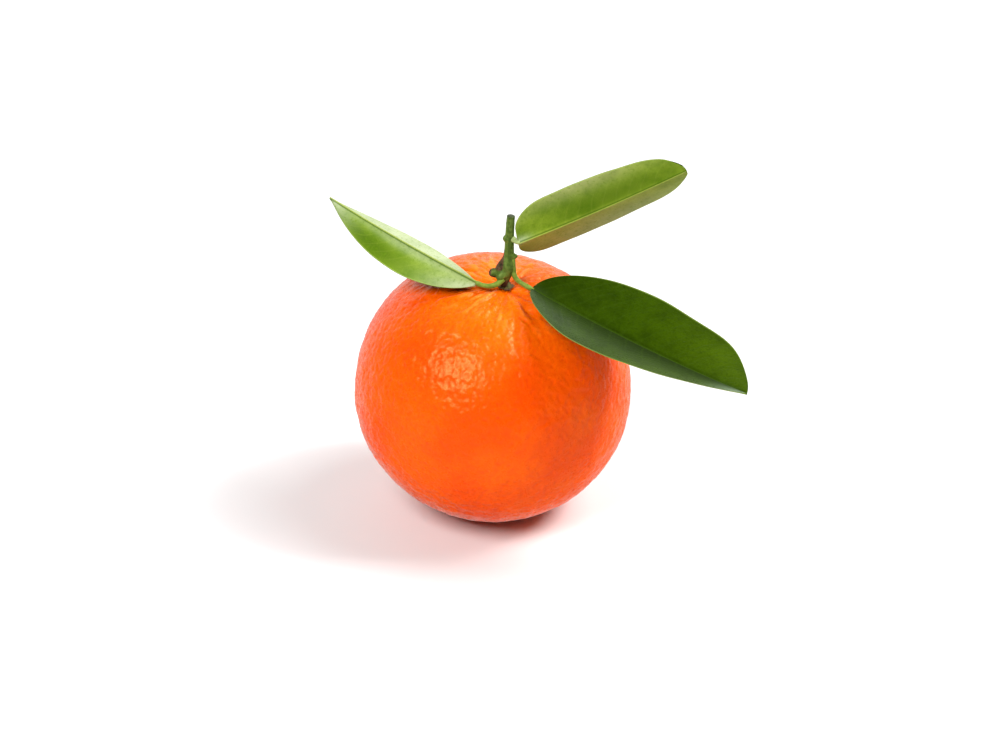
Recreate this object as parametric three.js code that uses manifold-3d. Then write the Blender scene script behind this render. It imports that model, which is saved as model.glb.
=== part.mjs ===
// A clementine as picked: one fruit on a short cut twig that carries three leaves.
// Millimetres and degrees, +Z up. The origin is the middle of the small flat that the fruit rests on, and the
// side that the twig leans towards, with the lower leaf, faces -Y.
import * as THREE from "three";
import { mergeVertices } from "three/addons/utils/BufferGeometryUtils.js";
import Module from "manifold-3d";

const wasm = await Module();
wasm.setup();

// Gap left between two pieces that touch in the real object.
const JOINT_GAP = 0.3;

// Fruit: a squat round body whose stem end is dimpled and furrowed.
const FRUIT_DIAMETER = 59.6;
const FRUIT_HEIGHT = 56;
const FRUIT_FULLNESS = 2.1; // exponent of the meridian, 2 is an ellipse
const DIMPLE_DEPTH = 1.5;
const DIMPLE_SPREAD = 22; // polar angle over which the dimple fades
const FURROW_COUNT = 9;
const FURROW_DEPTH = 0.35;
const FURROW_MIDDLE = 13; // polar angle where the furrows are deepest
const FURROW_SPREAD = 9;
const LUMP_HEIGHT = 0.25;
const FRUIT_LEAN = 11.8; // the stem end leans by this much from upright
const LEAN_HEADING = -60; // towards this heading, 0 is +X and 90 is +Y
const FLAT_DEPTH = 0.55; // how far the resting spot is pressed in
const FRUIT_SLICES = 60;
const FRUIT_BANDS = 38;

// Calyx: the dried star of sepals round the foot of the twig.
const CALYX_RADIUS = 3.1;
const CALYX_LOBES = 5;
const LOBE_DEPTH = 0.28; // share of the radius that the notches take
const CALYX_THICKNESS = 0.7;
const CALYX_RIM = 0.3;
const CALYX_UNDERSIDE = [0.15, 0.45, 0.75, 0.95]; // rings, as shares of the radius
const CALYX_TOP = [0.93, 0.75, 0.55, 0.3];
const CALYX_SIDES = 40;

// Twig: a cut length of stem with a swollen node, seen from the foot up.
const STEM_HEIGHT = 15.2;
const STEM_FOOT_RADIUS = 1.35;
const NODE_RADIUS = 1.8;
const NODE_HEIGHT = 3.4;
const NODE_LENGTH = 4.2;
const STEM_MIDDLE_RADIUS = 1.3;
const STEM_TOP_RADIUS = 1;
const STEM_LEAN = 4.5; // towards +X
const STEM_SIDES = 24;
const STEM_STEPS = 20;
const STUB_LENGTH = 3.6; // from the twig's axis to the broken face
const STUB_RADIUS = 0.85;
const STUB_HEIGHT = 1.9;
const STUB_RISE = 8;
const STUB_FLARE = 1.15; // how much wider the stub is at the twig
const STUB_SIDES = 14;
const BUD_RADIUS = 0.7;
const BUD_HEIGHT = 6.6;
const BUD_HEADING = 10;
const SCAR_RADIUS = 0.8;
const SCAR_HEIGHT = 10.2;
const SCAR_HEADING = 175;
const KNOB_SLICES = 12;
const KNOB_BANDS = 8;

// Leaves. A blade meets its stalk at a joint, placed from the twig's foot by a heading, a distance out and a
// height up. The blade then runs along its own heading and pitch, rolled about its length and folded up along
// the midrib, while its halves arch, its length curls up and it sweeps sideways. The stalk leaves the twig at
// its own heading and height, dipping below level by its own angle.
const BLADE_THICKNESS = 0.6;
const MIDRIB_WIDTH = 1.1;
const MIDRIB_FOOT = 0.55; // how far the midrib stands proud at the stalk
const MIDRIB_TIP = 0.15;
const BLADE_FOOT_WIDTH = 1.6;
const BLADE_TIP_WIDTH = 0.7;
const BLADE_STATIONS = 26;
const BLADE_TOP = [1, 0.75, 0.5, 0.25, 0, -0.25, -0.5, -0.75, -1]; // across the blade, left to right
const BLADE_FLANK = 0.7; // underside points out from the midrib
const BLADE_EDGE = 0.97;
const WIDEST_MIDRIB = 0.35; // as a share of the half blade
const STALK_RADIUS = 0.75;
const STALK_FOOT_RADIUS = 0.95;
const STALK_STATIONS = 10;
const STALK_SIDES = 14;
const STALK_PULL = 0.4; // how strongly the ends hold their direction, as a share of the length
const LEAF_CLEARANCE = 0.8; // least distance from a blade to the peel
const LIFT_STEP = 1; // a blade that would touch the peel is lifted by steps of this angle
const LIFT_LIMIT = 60;

const LEAVES = [
  {
    name: "left",
    jointHeading: -160,
    jointOut: 6.6,
    jointUp: 0,
    stalkHeading: -115,
    stalkHeight: 1.5,
    stalkDip: 20,
    heading: 160,
    pitch: 16.5,
    roll: 168,
    length: 39,
    width: 13.4,
    fold: 27,
    arch: -10,
    curl: 12,
    sweep: 21,
    footShape: 0.79,
    tipShape: 1.1,
  },
  {
    name: "upper",
    jointHeading: -45,
    jointOut: 2.8,
    jointUp: 10.3,
    stalkHeading: -60,
    stalkHeight: 9.8,
    stalkDip: 0,
    heading: 16.5,
    pitch: 19.8,
    roll: -73,
    length: 38.3,
    width: 15.8,
    fold: 21,
    arch: -9,
    curl: -10.5,
    sweep: -17,
    footShape: 0.24,
    tipShape: 0.42,
  },
  {
    name: "lower",
    jointHeading: -25,
    jointOut: 6.1,
    jointUp: 0.1,
    stalkHeading: -20,
    stalkHeight: 4.6,
    stalkDip: 50,
    heading: -24,
    pitch: -16,
    roll: 8,
    length: 53.2,
    width: 26,
    fold: 18,
    arch: -6,
    curl: 20.5,
    sweep: -17,
    footShape: 0.55,
    tipShape: 0.73,
  },
];

const MATERIALS = {
  peel: { color: 0xf56a06, roughness: 0.42 },
  calyx: { color: 0x8c9a4a, roughness: 0.75 },
  twig: { color: 0x6f8a3c, roughness: 0.6 },
  stalk: { color: 0x86a545, roughness: 0.5 },
  leaf: { color: 0x2f5d22, roughness: 0.4 },
};

const UP = new THREE.Vector3(0, 0, 1);
const radians = THREE.MathUtils.degToRad;

// A point at a heading, a distance out and a height.
function around(heading, out, up) {
  return new THREE.Vector3(out * Math.cos(radians(heading)), out * Math.sin(radians(heading)), up);
}

function piece(name, geometry, look) {
  const material = new THREE.MeshStandardMaterial({ ...MATERIALS[look], metalness: 0 });
  const mesh = new THREE.Mesh(geometry, material);
  mesh.name = name;
  return mesh;
}

// A closed skin over rings of points, all with the same count, with a fan over each end.
function loft(rings) {
  const sides = rings[0].length;
  const points = rings.flat();
  const faces = [];
  for (let ring = 0; ring + 1 < rings.length; ring++) {
    for (let side = 0; side < sides; side++) {
      const here = ring * sides + side;
      const beside = ring * sides + ((side + 1) % sides);
      faces.push(here, beside, beside + sides, here, beside + sides, here + sides);
    }
  }
  for (const [ring, first] of [[rings[0], 0], [rings.at(-1), (rings.length - 1) * sides]]) {
    const middle = points.length;
    points.push(ring.reduce((sum, point) => sum.add(point), new THREE.Vector3()).divideScalar(sides));
    for (let side = 0; side < sides; side++) {
      const edge = [first + side, first + ((side + 1) % sides)];
      faces.push(middle, ...(first ? edge : edge.reverse()));
    }
  }
  const geometry = new THREE.BufferGeometry().setFromPoints(points);
  geometry.setIndex(faces);
  return geometry;
}

function toSolid(geometry) {
  const bare = new THREE.BufferGeometry().setAttribute("position", geometry.getAttribute("position"));
  bare.setIndex(geometry.index);
  const merged = mergeVertices(bare, 1e-4);
  const vertProperties = new Float32Array(merged.getAttribute("position").array);
  const triVerts = new Uint32Array(merged.index.array);
  return new wasm.Manifold(new wasm.Mesh({ numProp: 3, vertProperties, triVerts }));
}

function toGeometry(solid) {
  const { vertProperties, triVerts, numProp } = solid.getMesh();
  const points = [];
  for (let at = 0; at < vertProperties.length; at += numProp) {
    points.push(...vertProperties.slice(at, at + 3));
  }
  const geometry = new THREE.BufferGeometry();
  geometry.setAttribute("position", new THREE.Float32BufferAttribute(points, 3));
  geometry.setIndex([...triVerts]);
  return geometry;
}

// The fruit in its own frame: its middle at the origin and its stem end up +Z.

function meridianRadius(polar) {
  const across = Math.abs(Math.sin(polar)) / (FRUIT_DIAMETER / 2);
  const upwards = Math.abs(Math.cos(polar)) / (FRUIT_HEIGHT / 2);
  return (across ** FRUIT_FULLNESS + upwards ** FRUIT_FULLNESS) ** (-1 / FRUIT_FULLNESS);
}

function peelRadius(direction) {
  const polar = Math.acos(THREE.MathUtils.clamp(direction.z, -1, 1));
  const turn = Math.atan2(direction.y, direction.x);
  const dimple = DIMPLE_DEPTH * Math.exp(-((polar / radians(DIMPLE_SPREAD)) ** 2));
  const band = Math.exp(-(((polar - radians(FURROW_MIDDLE)) / radians(FURROW_SPREAD)) ** 2));
  const wave = Math.cos(FURROW_COUNT * turn + Math.sin(2 * turn + 1));
  const furrow = FURROW_DEPTH * band * (0.5 - 0.5 * wave) ** 2;
  const lumps = Math.sin(3 * turn + 1.1) * Math.sin(polar) ** 2 + Math.sin(2 * turn + 4 * polar);
  const lump = LUMP_HEIGHT * 0.5 * lumps * Math.sin(polar);
  return meridianRadius(polar) - dimple - furrow + lump;
}

// Height of the fruit's middle over its lowest point, and how far that point lies out towards the lean.
const lean = radians(FRUIT_LEAN);
const reachOut = (FRUIT_DIAMETER / 2) * Math.sin(lean);
const reachDown = (FRUIT_HEIGHT / 2) * Math.cos(lean);
const conjugate = FRUIT_FULLNESS / (FRUIT_FULLNESS - 1);
const restHeight = (reachOut ** conjugate + reachDown ** conjugate) ** (1 / conjugate);
const lowX = (FRUIT_DIAMETER / 2) * (reachOut / restHeight) ** (conjugate - 1);
const lowZ = (-FRUIT_HEIGHT / 2) * (reachDown / restHeight) ** (conjugate - 1);
const restOffset = lowX * Math.cos(lean) + lowZ * Math.sin(lean);

const fruitAxis = around(LEAN_HEADING, Math.sin(lean), Math.cos(lean));
const fruitTurn = new THREE.Quaternion().setFromUnitVectors(UP, fruitAxis);
const fruitMiddle = around(LEAN_HEADING, -restOffset, restHeight - FLAT_DEPTH);

function fruitGeometry() {
  const sphere = new THREE.SphereGeometry(1, FRUIT_SLICES, FRUIT_BANDS).rotateX(Math.PI / 2);
  const position = sphere.getAttribute("position");
  const direction = new THREE.Vector3();
  for (let at = 0; at < position.count; at++) {
    direction.fromBufferAttribute(position, at).normalize();
    const point = direction.clone().multiplyScalar(peelRadius(direction));
    position.setXYZ(at, point.x, point.y, point.z);
  }
  const worldUp = UP.clone().applyQuaternion(fruitTurn.clone().invert());
  return toGeometry(toSolid(sphere).trimByPlane(worldUp.toArray(), -fruitMiddle.z));
}

// Distance from a world point to the peel, measured towards the fruit's middle.
function heightOverPeel(point) {
  const from = point.clone().sub(fruitMiddle).applyQuaternion(fruitTurn.clone().invert());
  return from.length() - peelRadius(from.normalize());
}

const fruit = new THREE.Group();
fruit.position.copy(fruitMiddle);
fruit.quaternion.copy(fruitTurn);
fruit.add(piece("fruit", fruitGeometry(), "peel"));

// The calyx in the fruit's frame: its underside follows the dimple a gap above the peel.

function peelHeight(radius, turn) {
  const direction = new THREE.Vector3(Math.cos(turn) * radius, Math.sin(turn) * radius, FRUIT_HEIGHT / 2);
  direction.normalize();
  return peelRadius(direction) * direction.z;
}

function calyxGeometry() {
  const underside = CALYX_UNDERSIDE.map((share) => [share, 0]);
  const rim = [[1, CALYX_RIM / 2]];
  const top = CALYX_TOP.map((share) => [
    share,
    CALYX_RIM + (CALYX_THICKNESS - CALYX_RIM) * (1 - share ** 2),
  ]);
  const rings = [...underside, ...rim, ...top].map(([share, lift]) => {
    const ring = [];
    for (let side = 0; side < CALYX_SIDES; side++) {
      const turn = (2 * Math.PI * side) / CALYX_SIDES;
      const notch = LOBE_DEPTH * (0.5 - 0.5 * Math.cos(CALYX_LOBES * turn));
      const radius = share * CALYX_RADIUS * (1 - notch);
      const height = peelHeight(radius, turn) + JOINT_GAP + lift;
      ring.push(new THREE.Vector3(radius * Math.cos(turn), radius * Math.sin(turn), height));
    }
    return ring;
  });
  return loft(rings);
}

fruit.add(piece("calyx", calyxGeometry(), "calyx"));

// The twig in its own frame: its foot at the origin, a gap above the calyx, and its length up +Z.

const twig = new THREE.Group();
const stemFoot = peelHeight(0, 0) + CALYX_THICKNESS + 2 * JOINT_GAP;
twig.position.copy(fruitAxis).multiplyScalar(stemFoot).add(fruitMiddle);
twig.rotation.y = radians(STEM_LEAN);

function stemRadius(height) {
  const share = height / STEM_HEIGHT;
  const shaft = THREE.MathUtils.lerp(STEM_MIDDLE_RADIUS, STEM_TOP_RADIUS, share);
  const foot = THREE.MathUtils.lerp(STEM_FOOT_RADIUS, shaft, Math.min(1, height / NODE_HEIGHT));
  const swelling = Math.exp(-(((height - NODE_HEIGHT) / (NODE_LENGTH / 2)) ** 2));
  return foot + (NODE_RADIUS - STEM_MIDDLE_RADIUS) * swelling;
}

function knob(radius, height, heading) {
  const ball = new THREE.SphereGeometry(radius, KNOB_SLICES, KNOB_BANDS);
  return toSolid(ball.translate(...around(heading, stemRadius(height), height)));
}

function stemGeometry() {
  const profile = [new THREE.Vector2(0, 0)];
  for (let step = 0; step <= STEM_STEPS; step++) {
    const height = (STEM_HEIGHT * step) / STEM_STEPS;
    profile.push(new THREE.Vector2(stemRadius(height), height));
  }
  profile.push(new THREE.Vector2(0, STEM_HEIGHT));
  const shaft = new THREE.LatheGeometry(profile, STEM_SIDES).rotateX(Math.PI / 2);
  const stub = new THREE.CylinderGeometry(STUB_RADIUS, STUB_RADIUS * STUB_FLARE, STUB_LENGTH, STUB_SIDES);
  stub.translate(0, STUB_LENGTH / 2, 0).rotateZ(radians(90 - STUB_RISE));
  stub.rotateX(Math.PI / 2).translate(0, 0, STUB_HEIGHT);
  const joined = toSolid(shaft)
    .add(toSolid(stub))
    .add(knob(BUD_RADIUS, BUD_HEIGHT, BUD_HEADING))
    .add(knob(SCAR_RADIUS, SCAR_HEIGHT, SCAR_HEADING));
  return toGeometry(joined);
}

twig.add(piece("stem", stemGeometry(), "twig"));

// A blade in its own frame: its foot at the origin, its length along +X and its upper side towards +Z.

function bladeRings(leaf) {
  const rings = [];
  const middle = new THREE.Vector3();
  const before = new THREE.Vector3();
  const peak = leaf.footShape / (leaf.footShape + leaf.tipShape);
  const tallest = peak ** leaf.footShape * (1 - peak) ** leaf.tipShape;
  for (let station = 0; station <= BLADE_STATIONS; station++) {
    const share = station / BLADE_STATIONS;
    const curl = radians(leaf.curl) * share;
    const sweep = radians(leaf.sweep) * share;
    const along = new THREE.Vector3(Math.cos(sweep), Math.sin(sweep), 0).multiplyScalar(Math.cos(curl));
    along.z = Math.sin(curl);
    const out = UP.clone().addScaledVector(along, -along.z).normalize();
    const left = out.clone().cross(along);
    if (station) {
      middle.addScaledVector(before.add(along), leaf.length / BLADE_STATIONS / 2);
    }
    before.copy(along);
    const outline = (share ** leaf.footShape * (1 - share) ** leaf.tipShape) / tallest;
    const leastWidth = THREE.MathUtils.lerp(BLADE_FOOT_WIDTH, BLADE_TIP_WIDTH, share);
    const half = Math.hypot(leaf.width * outline, leastWidth) / 2;
    const proud = THREE.MathUtils.lerp(MIDRIB_FOOT, MIDRIB_TIP, share);
    const flank = Math.min(MIDRIB_WIDTH / 2 / half, WIDEST_MIDRIB);
    const place = (across, drop) => {
      const steepness = radians(leaf.fold + (leaf.arch * Math.abs(across)) / 2);
      const sideways = across * half * Math.cos(steepness);
      const rise = Math.abs(across) * half * Math.sin(steepness) - drop;
      return middle.clone().addScaledVector(left, sideways).addScaledVector(out, rise);
    };
    const under = [-BLADE_EDGE, -BLADE_FLANK, -flank, 0, flank, BLADE_FLANK, BLADE_EDGE];
    rings.push([
      ...BLADE_TOP.map((across) => place(across, 0)),
      ...under.map((across) => place(across, BLADE_THICKNESS + (across ? 0 : proud))),
    ]);
  }
  return rings;
}

// Lifts a leaf's pitch until all of its blade clears the peel, and returns the blade's mesh.
function placedBlade(leaf) {
  const rings = bladeRings(leaf);
  const blade = piece(`leaf_${leaf.name}_blade`, loft(rings), "leaf");
  blade.position.copy(around(leaf.jointHeading, leaf.jointOut, leaf.jointUp));
  for (let lift = 0; lift < LIFT_LIMIT; lift += LIFT_STEP) {
    blade.rotation.set(radians(leaf.roll), -radians(leaf.pitch + lift), radians(leaf.heading), "ZYX");
    twig.add(blade);
    twig.updateMatrixWorld(true);
    const points = rings.flat().map((point) => point.clone().applyMatrix4(blade.matrixWorld));
    if (Math.min(...points.map(heightOverPeel)) >= LEAF_CLEARANCE) {
      break;
    }
  }
  return blade;
}

// A stalk that leaves the twig's side at its dip and meets the blade's foot end on, a gap short of each.
function stalkGeometry(leaf, blade) {
  const dip = radians(leaf.stalkDip);
  const out = around(leaf.stalkHeading, Math.cos(dip), -Math.sin(dip));
  const along = new THREE.Vector3(1, 0, 0).applyQuaternion(blade.quaternion);
  const clear = stemRadius(leaf.stalkHeight) + JOINT_GAP + STALK_FOOT_RADIUS * Math.sin(dip);
  const start = around(leaf.stalkHeading, clear, leaf.stalkHeight);
  const end = blade.position.clone().addScaledVector(along, -JOINT_GAP);
  end.addScaledVector(UP.clone().applyQuaternion(blade.quaternion), -BLADE_THICKNESS / 2);
  const pull = start.distanceTo(end) * STALK_PULL;
  const curve = new THREE.CubicBezierCurve3(
    start,
    start.clone().addScaledVector(out, pull),
    end.clone().addScaledVector(along, -pull),
    end,
  );
  const { normals, binormals } = curve.computeFrenetFrames(STALK_STATIONS, false);
  const rings = normals.map((normal, station) => {
    const share = station / STALK_STATIONS;
    const radius = THREE.MathUtils.lerp(STALK_FOOT_RADIUS, STALK_RADIUS, Math.min(1, share * 2));
    const middle = curve.getPointAt(share);
    return Array.from({ length: STALK_SIDES }, (_, side) => {
      const turn = (2 * Math.PI * side) / STALK_SIDES;
      const point = middle.clone().addScaledVector(normal, radius * Math.cos(turn));
      return point.addScaledVector(binormals[station], radius * Math.sin(turn));
    });
  });
  return loft(rings);
}

for (const leaf of LEAVES) {
  const blade = placedBlade(leaf);
  twig.add(piece(`leaf_${leaf.name}_stalk`, stalkGeometry(leaf, blade), "stalk"));
}

const clementine = new THREE.Group();
clementine.add(fruit, twig);

export default clementine;
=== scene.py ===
import math

import bpy
import numpy as np
from mathutils import Matrix, Vector, kdtree, noise


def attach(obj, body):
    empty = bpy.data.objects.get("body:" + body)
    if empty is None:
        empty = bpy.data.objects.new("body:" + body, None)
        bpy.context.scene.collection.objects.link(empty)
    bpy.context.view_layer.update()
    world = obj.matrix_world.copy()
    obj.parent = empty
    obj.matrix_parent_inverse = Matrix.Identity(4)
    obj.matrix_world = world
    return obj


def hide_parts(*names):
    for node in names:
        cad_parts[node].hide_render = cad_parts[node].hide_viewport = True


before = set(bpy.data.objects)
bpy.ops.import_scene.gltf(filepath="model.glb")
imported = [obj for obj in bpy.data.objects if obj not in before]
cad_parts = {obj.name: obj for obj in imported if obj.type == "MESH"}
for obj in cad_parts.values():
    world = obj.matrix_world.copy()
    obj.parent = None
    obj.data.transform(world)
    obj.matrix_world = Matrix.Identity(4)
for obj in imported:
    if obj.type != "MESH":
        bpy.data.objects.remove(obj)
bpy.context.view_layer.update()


# Peel: the waxy skin of the fruit, grown as one piece over a squat round body with a dimpled, furrowed stem
# end and low lumps. Thousands of oil glands each sink a shallow pit into it. It rests on a small patch
# pressed flat, and carries a brown dot where the flower's style fell off.

MM = 0.001
FRUIT_DIAMETER = 59.6 * MM
FRUIT_HEIGHT = 56 * MM
FRUIT_FULLNESS = 2.1
DIMPLE_DEPTH = 1.5 * MM
DIMPLE_SPREAD = math.radians(22)
FURROW_COUNT = 9
FURROW_DEPTH = 0.35 * MM
FURROW_MIDDLE = math.radians(13)
FURROW_SPREAD = math.radians(9)
LUMP_HEIGHT = 0.25 * MM
FRUIT_LEAN = math.radians(11.8)
LEAN_HEADING = math.radians(-60)
FLAT_DEPTH = 0.55 * MM
PEEL_CELLS = 128
GLAND_SPACING = 1.3 * MM
GLAND_RADIUS = 0.45 * MM
GLAND_DEPTH = 0.16 * MM
GLAND_PACKING = 0.87
GLAND_SCATTER = 0.24
WEAKEST_GLAND = 0.35
STRONGEST_GLAND = 1.25
RIPPLE_LENGTH = 2.2 * MM
RIPPLE_HEIGHT = 0.13 * MM
SWELL_LENGTH = 7 * MM
SWELL_HEIGHT = 0.12 * MM
RIDGE_HEIGHT = 0.48 * MM
RIDGE_START = math.radians(7)
RIDGE_END = math.radians(31)
RIDGES_ROUND = 4.2
RIDGES_DOWN = 2.5
FINE_RIDGE_SHARE = 1.1
CREASE_SHARE = 0.8
CREASE_WIDTH = 0.13
STYLE_SCAR_RADIUS = math.radians(2.2)
STYLE_SCAR_DEPTH = 0.25 * MM
BLOTCH_LENGTH = 14 * MM
FRECKLE_SPACING = 1.7 * MM
SKIN_GRAIN = 0.45 * MM
PORE_SPACING = 1.05 * MM
PORE_DEPTH = 0.13 * MM
GLOW_DEPTH = 1.6 * MM
DEEP_ORANGE = (0.88, 0.073, 0.0003)
BRIGHT_ORANGE = (0.94, 0.105, 0.0006)
STEM_END_ORANGE = (0.97, 0.19, 0.001)
PIT_ORANGE = (0.84, 0.05, 0.0)
FRECKLE_ORANGE = (0.66, 0.04, 0.001)
RIDGE_HIGHLIGHT_ORANGE = (0.97, 0.28, 0.03)
STYLE_SCAR_BROWN = (0.09, 0.045, 0.02)
FLESH_GLOW = (1, 0.35, 0.08)
PEEL_GLOSS = (1, 0.64, 0.24, 1)


def heading_vector(heading, out, up):
    return np.array([out * math.cos(heading), out * math.sin(heading), up])


def turn_onto(axis):
    """The rotation that takes +Z onto an axis, as a 3 by 3 array."""
    return np.array(Vector((0, 0, 1)).rotation_difference(Vector(axis)).to_matrix())


def meridian_radius(polar):
    across = np.abs(np.sin(polar)) / (FRUIT_DIAMETER / 2)
    upwards = np.abs(np.cos(polar)) / (FRUIT_HEIGHT / 2)
    return (across**FRUIT_FULLNESS + upwards**FRUIT_FULLNESS) ** (-1 / FRUIT_FULLNESS)


def peel_radius(polar, turn):
    dimple = DIMPLE_DEPTH * np.exp(-((polar / DIMPLE_SPREAD) ** 2))
    band = np.exp(-(((polar - FURROW_MIDDLE) / FURROW_SPREAD) ** 2))
    wave = np.cos(FURROW_COUNT * turn + np.sin(2 * turn + 1))
    furrow = FURROW_DEPTH * band * (0.5 - 0.5 * wave) ** 2
    lumps = np.sin(3 * turn + 1.1) * np.sin(polar) ** 2 + np.sin(2 * turn + 4 * polar)
    return meridian_radius(polar) - dimple - furrow + LUMP_HEIGHT * 0.5 * lumps * np.sin(polar)


reach_out = FRUIT_DIAMETER / 2 * math.sin(FRUIT_LEAN)
reach_down = FRUIT_HEIGHT / 2 * math.cos(FRUIT_LEAN)
conjugate = FRUIT_FULLNESS / (FRUIT_FULLNESS - 1)
rest_height = (reach_out**conjugate + reach_down**conjugate) ** (1 / conjugate)
low_out = FRUIT_DIAMETER / 2 * (reach_out / rest_height) ** (conjugate - 1)
low_down = FRUIT_HEIGHT / 2 * (reach_down / rest_height) ** (conjugate - 1)
rest_offset = low_out * math.cos(FRUIT_LEAN) - low_down * math.sin(FRUIT_LEAN)

fruit_axis = heading_vector(LEAN_HEADING, math.sin(FRUIT_LEAN), math.cos(FRUIT_LEAN))
fruit_turn = turn_onto(fruit_axis)
fruit_middle = heading_vector(LEAN_HEADING, -rest_offset, rest_height - FLAT_DEPTH)


def rounded_cube(cells):
    """Directions and square faces of a cube's surface grid swollen into a ball of even cells."""
    steps = np.arange(cells + 1)
    first, second = (grid.ravel() for grid in np.meshgrid(steps, steps, indexing="ij"))
    corner = (first < cells) & (second < cells)
    start = np.flatnonzero(corner)
    square = np.stack([start, start + cells + 1, start + cells + 2, start + 1], axis=1)
    points = []
    faces = []
    for axis in range(3):
        for level in (0, cells):
            side = np.full((first.size, 3), level)
            side[:, (axis + 1) % 3] = first
            side[:, (axis + 2) % 3] = second
            faces.append((square if level else square[:, ::-1]) + len(points) * first.size)
            points.append(side)
    lattice, index = np.unique(np.concatenate(points), axis=0, return_inverse=True)
    spread = np.tan((lattice / cells * 2 - 1) * math.pi / 4)
    return spread / np.linalg.norm(spread, axis=1)[:, None], index.ravel()[np.concatenate(faces)]


def gland_distances(directions):
    """Each direction's distance over the skin to its nearest gland, and that gland's own strength."""
    radius = FRUIT_DIAMETER / 2
    count = int(4 * math.pi * radius**2 / (GLAND_SPACING**2 * GLAND_PACKING))
    chance = np.random.default_rng(11)
    height = 1 - (np.arange(count) + 0.5) * 2 / count
    spiral = np.arange(count) * math.pi * (3 - math.sqrt(5))
    flat = np.sqrt(1 - height**2)
    glands = np.stack([flat * np.cos(spiral), flat * np.sin(spiral), height], axis=1)
    glands += chance.normal(0, GLAND_SCATTER * GLAND_SPACING / radius, glands.shape)
    glands /= np.linalg.norm(glands, axis=1)[:, None]
    strengths = chance.uniform(WEAKEST_GLAND, STRONGEST_GLAND, count)
    tree = kdtree.KDTree(count)
    for number, gland in enumerate(glands):
        tree.insert(gland, number)
    tree.balance()
    found = [tree.find(direction)[1:] for direction in directions]
    nearest = np.array([number for number, _ in found])
    return np.array([distance for _, distance in found]) * radius, strengths[nearest]


def noise_over(points, length, seed):
    """Smooth noise between about -1 and 1 whose lumps are as long as given."""
    shift = Vector((seed, seed * 1.7, seed * 0.6))
    return np.array([noise.noise(Vector(point) / length + shift) for point in points])


class Value:
    """One value in a material's nodes, so that shader maths reads as plain arithmetic."""

    def __init__(self, tree, socket):
        self.tree = tree
        self.socket = socket

    def node(self, kind, settings=None, inputs=None, output=0):
        """Adds a node: its type, its settings, the values or links of its sockets, and the output taken."""
        made = self.tree.nodes.new(kind)
        for name, setting in (settings or {}).items():
            setattr(made, name, setting)
        for name, given in (inputs or {}).items():
            if isinstance(given, Value):
                self.tree.links.new(given.socket, made.inputs[name])
            else:
                made.inputs[name].default_value = given
        return Value(self.tree, made.outputs[output])

    def maths(self, operation, *terms):
        return self.node("ShaderNodeMath", {"operation": operation}, dict(enumerate(terms)))

    def __add__(self, other):
        return self.maths("ADD", self, other)

    def __sub__(self, other):
        return self.maths("SUBTRACT", self, other)

    def __rsub__(self, other):
        return self.maths("SUBTRACT", other, self)

    def __mul__(self, other):
        return self.maths("MULTIPLY", self, other)

    def __pow__(self, other):
        return self.maths("POWER", self, other)

    def __abs__(self):
        return self.maths("ABSOLUTE", self)

    __radd__ = __add__
    __rmul__ = __mul__

    def fraction(self):
        """What is left of this value above its whole number."""
        return self.maths("FRACT", self)

    def sign(self):
        return self.maths("SIGN", self)

    def rise(self, low, high):
        """0 below low, 1 above high and smooth between."""
        settings = {"interpolation_type": "SMOOTHSTEP", "clamp": True}
        inputs = {"Value": self, "From Min": low, "From Max": high}
        return self.node("ShaderNodeMapRange", settings, inputs)

    def tint(self, low, high):
        """The mix of two colours by this value, each an (r, g, b) or a linked colour."""
        ends = [given if isinstance(given, Value) else (*given, 1) for given in (low, high)]
        settings = {"data_type": "RGBA", "clamp_factor": True}
        return self.node("ShaderNodeMix", settings, {0: self, 6: ends[0], 7: ends[1]}, output=2)


class Finish:
    """A material with one Principled surface, its places on the object, and its attributes."""

    def __init__(self, name):
        self.material = bpy.data.materials.new(name)
        self.material.use_nodes = True
        self.tree = self.material.node_tree
        self.surface = self.tree.nodes["Principled BSDF"]
        self.start = Value(self.tree, None)
        self.place = self.start.node("ShaderNodeTexCoord", output=3)

    def stored(self, name):
        """A value that the mesh keeps at each vertex."""
        return self.start.node("ShaderNodeAttribute", {"attribute_name": name}, output=2)

    def noise(self, length, detail=2, roughness=0.5):
        inputs = {"Vector": self.place, "Scale": 1 / length, "Detail": detail, "Roughness": roughness}
        return self.start.node("ShaderNodeTexNoise", inputs=inputs)

    def cells(self, length, feature="F1"):
        inputs = {"Vector": self.place, "Scale": 1 / length}
        return self.start.node("ShaderNodeTexVoronoi", {"feature": feature}, inputs)

    def bump(self, height, distance, strength=1):
        inputs = {"Height": height, "Distance": distance, "Strength": strength}
        self.set(Normal=self.start.node("ShaderNodeBump", inputs=inputs))

    def set(self, **sockets):
        """Sets the surface's sockets by name, with an underscore for each space."""
        for name, given in sockets.items():
            socket = self.surface.inputs[name.replace("_", " ")]
            if isinstance(given, Value):
                self.tree.links.new(given.socket, socket)
            else:
                socket.default_value = given


def make_piece(name, points, faces, finishes, node, stored=None, chosen=None):
    """Makes a smooth mesh piece that stands for a CAD node and rides with the fruit."""
    mesh = bpy.data.meshes.new(name)
    mesh.from_pydata([tuple(point) for point in points], [], [tuple(face) for face in faces])
    for finish in finishes:
        mesh.materials.append(finish.material)
    if chosen is not None:
        mesh.polygons.foreach_set("material_index", np.asarray(chosen, dtype=np.int32))
    for key, values in (stored or {}).items():
        kept = mesh.attributes.new(key, "FLOAT", "POINT")
        kept.data.foreach_set("value", np.asarray(values, dtype=np.float32))
    mesh.shade_smooth()
    mesh.update()
    piece = bpy.data.objects.new(name, mesh)
    bpy.context.scene.collection.objects.link(piece)
    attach(piece, "root")
    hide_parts(node)
    return piece


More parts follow.
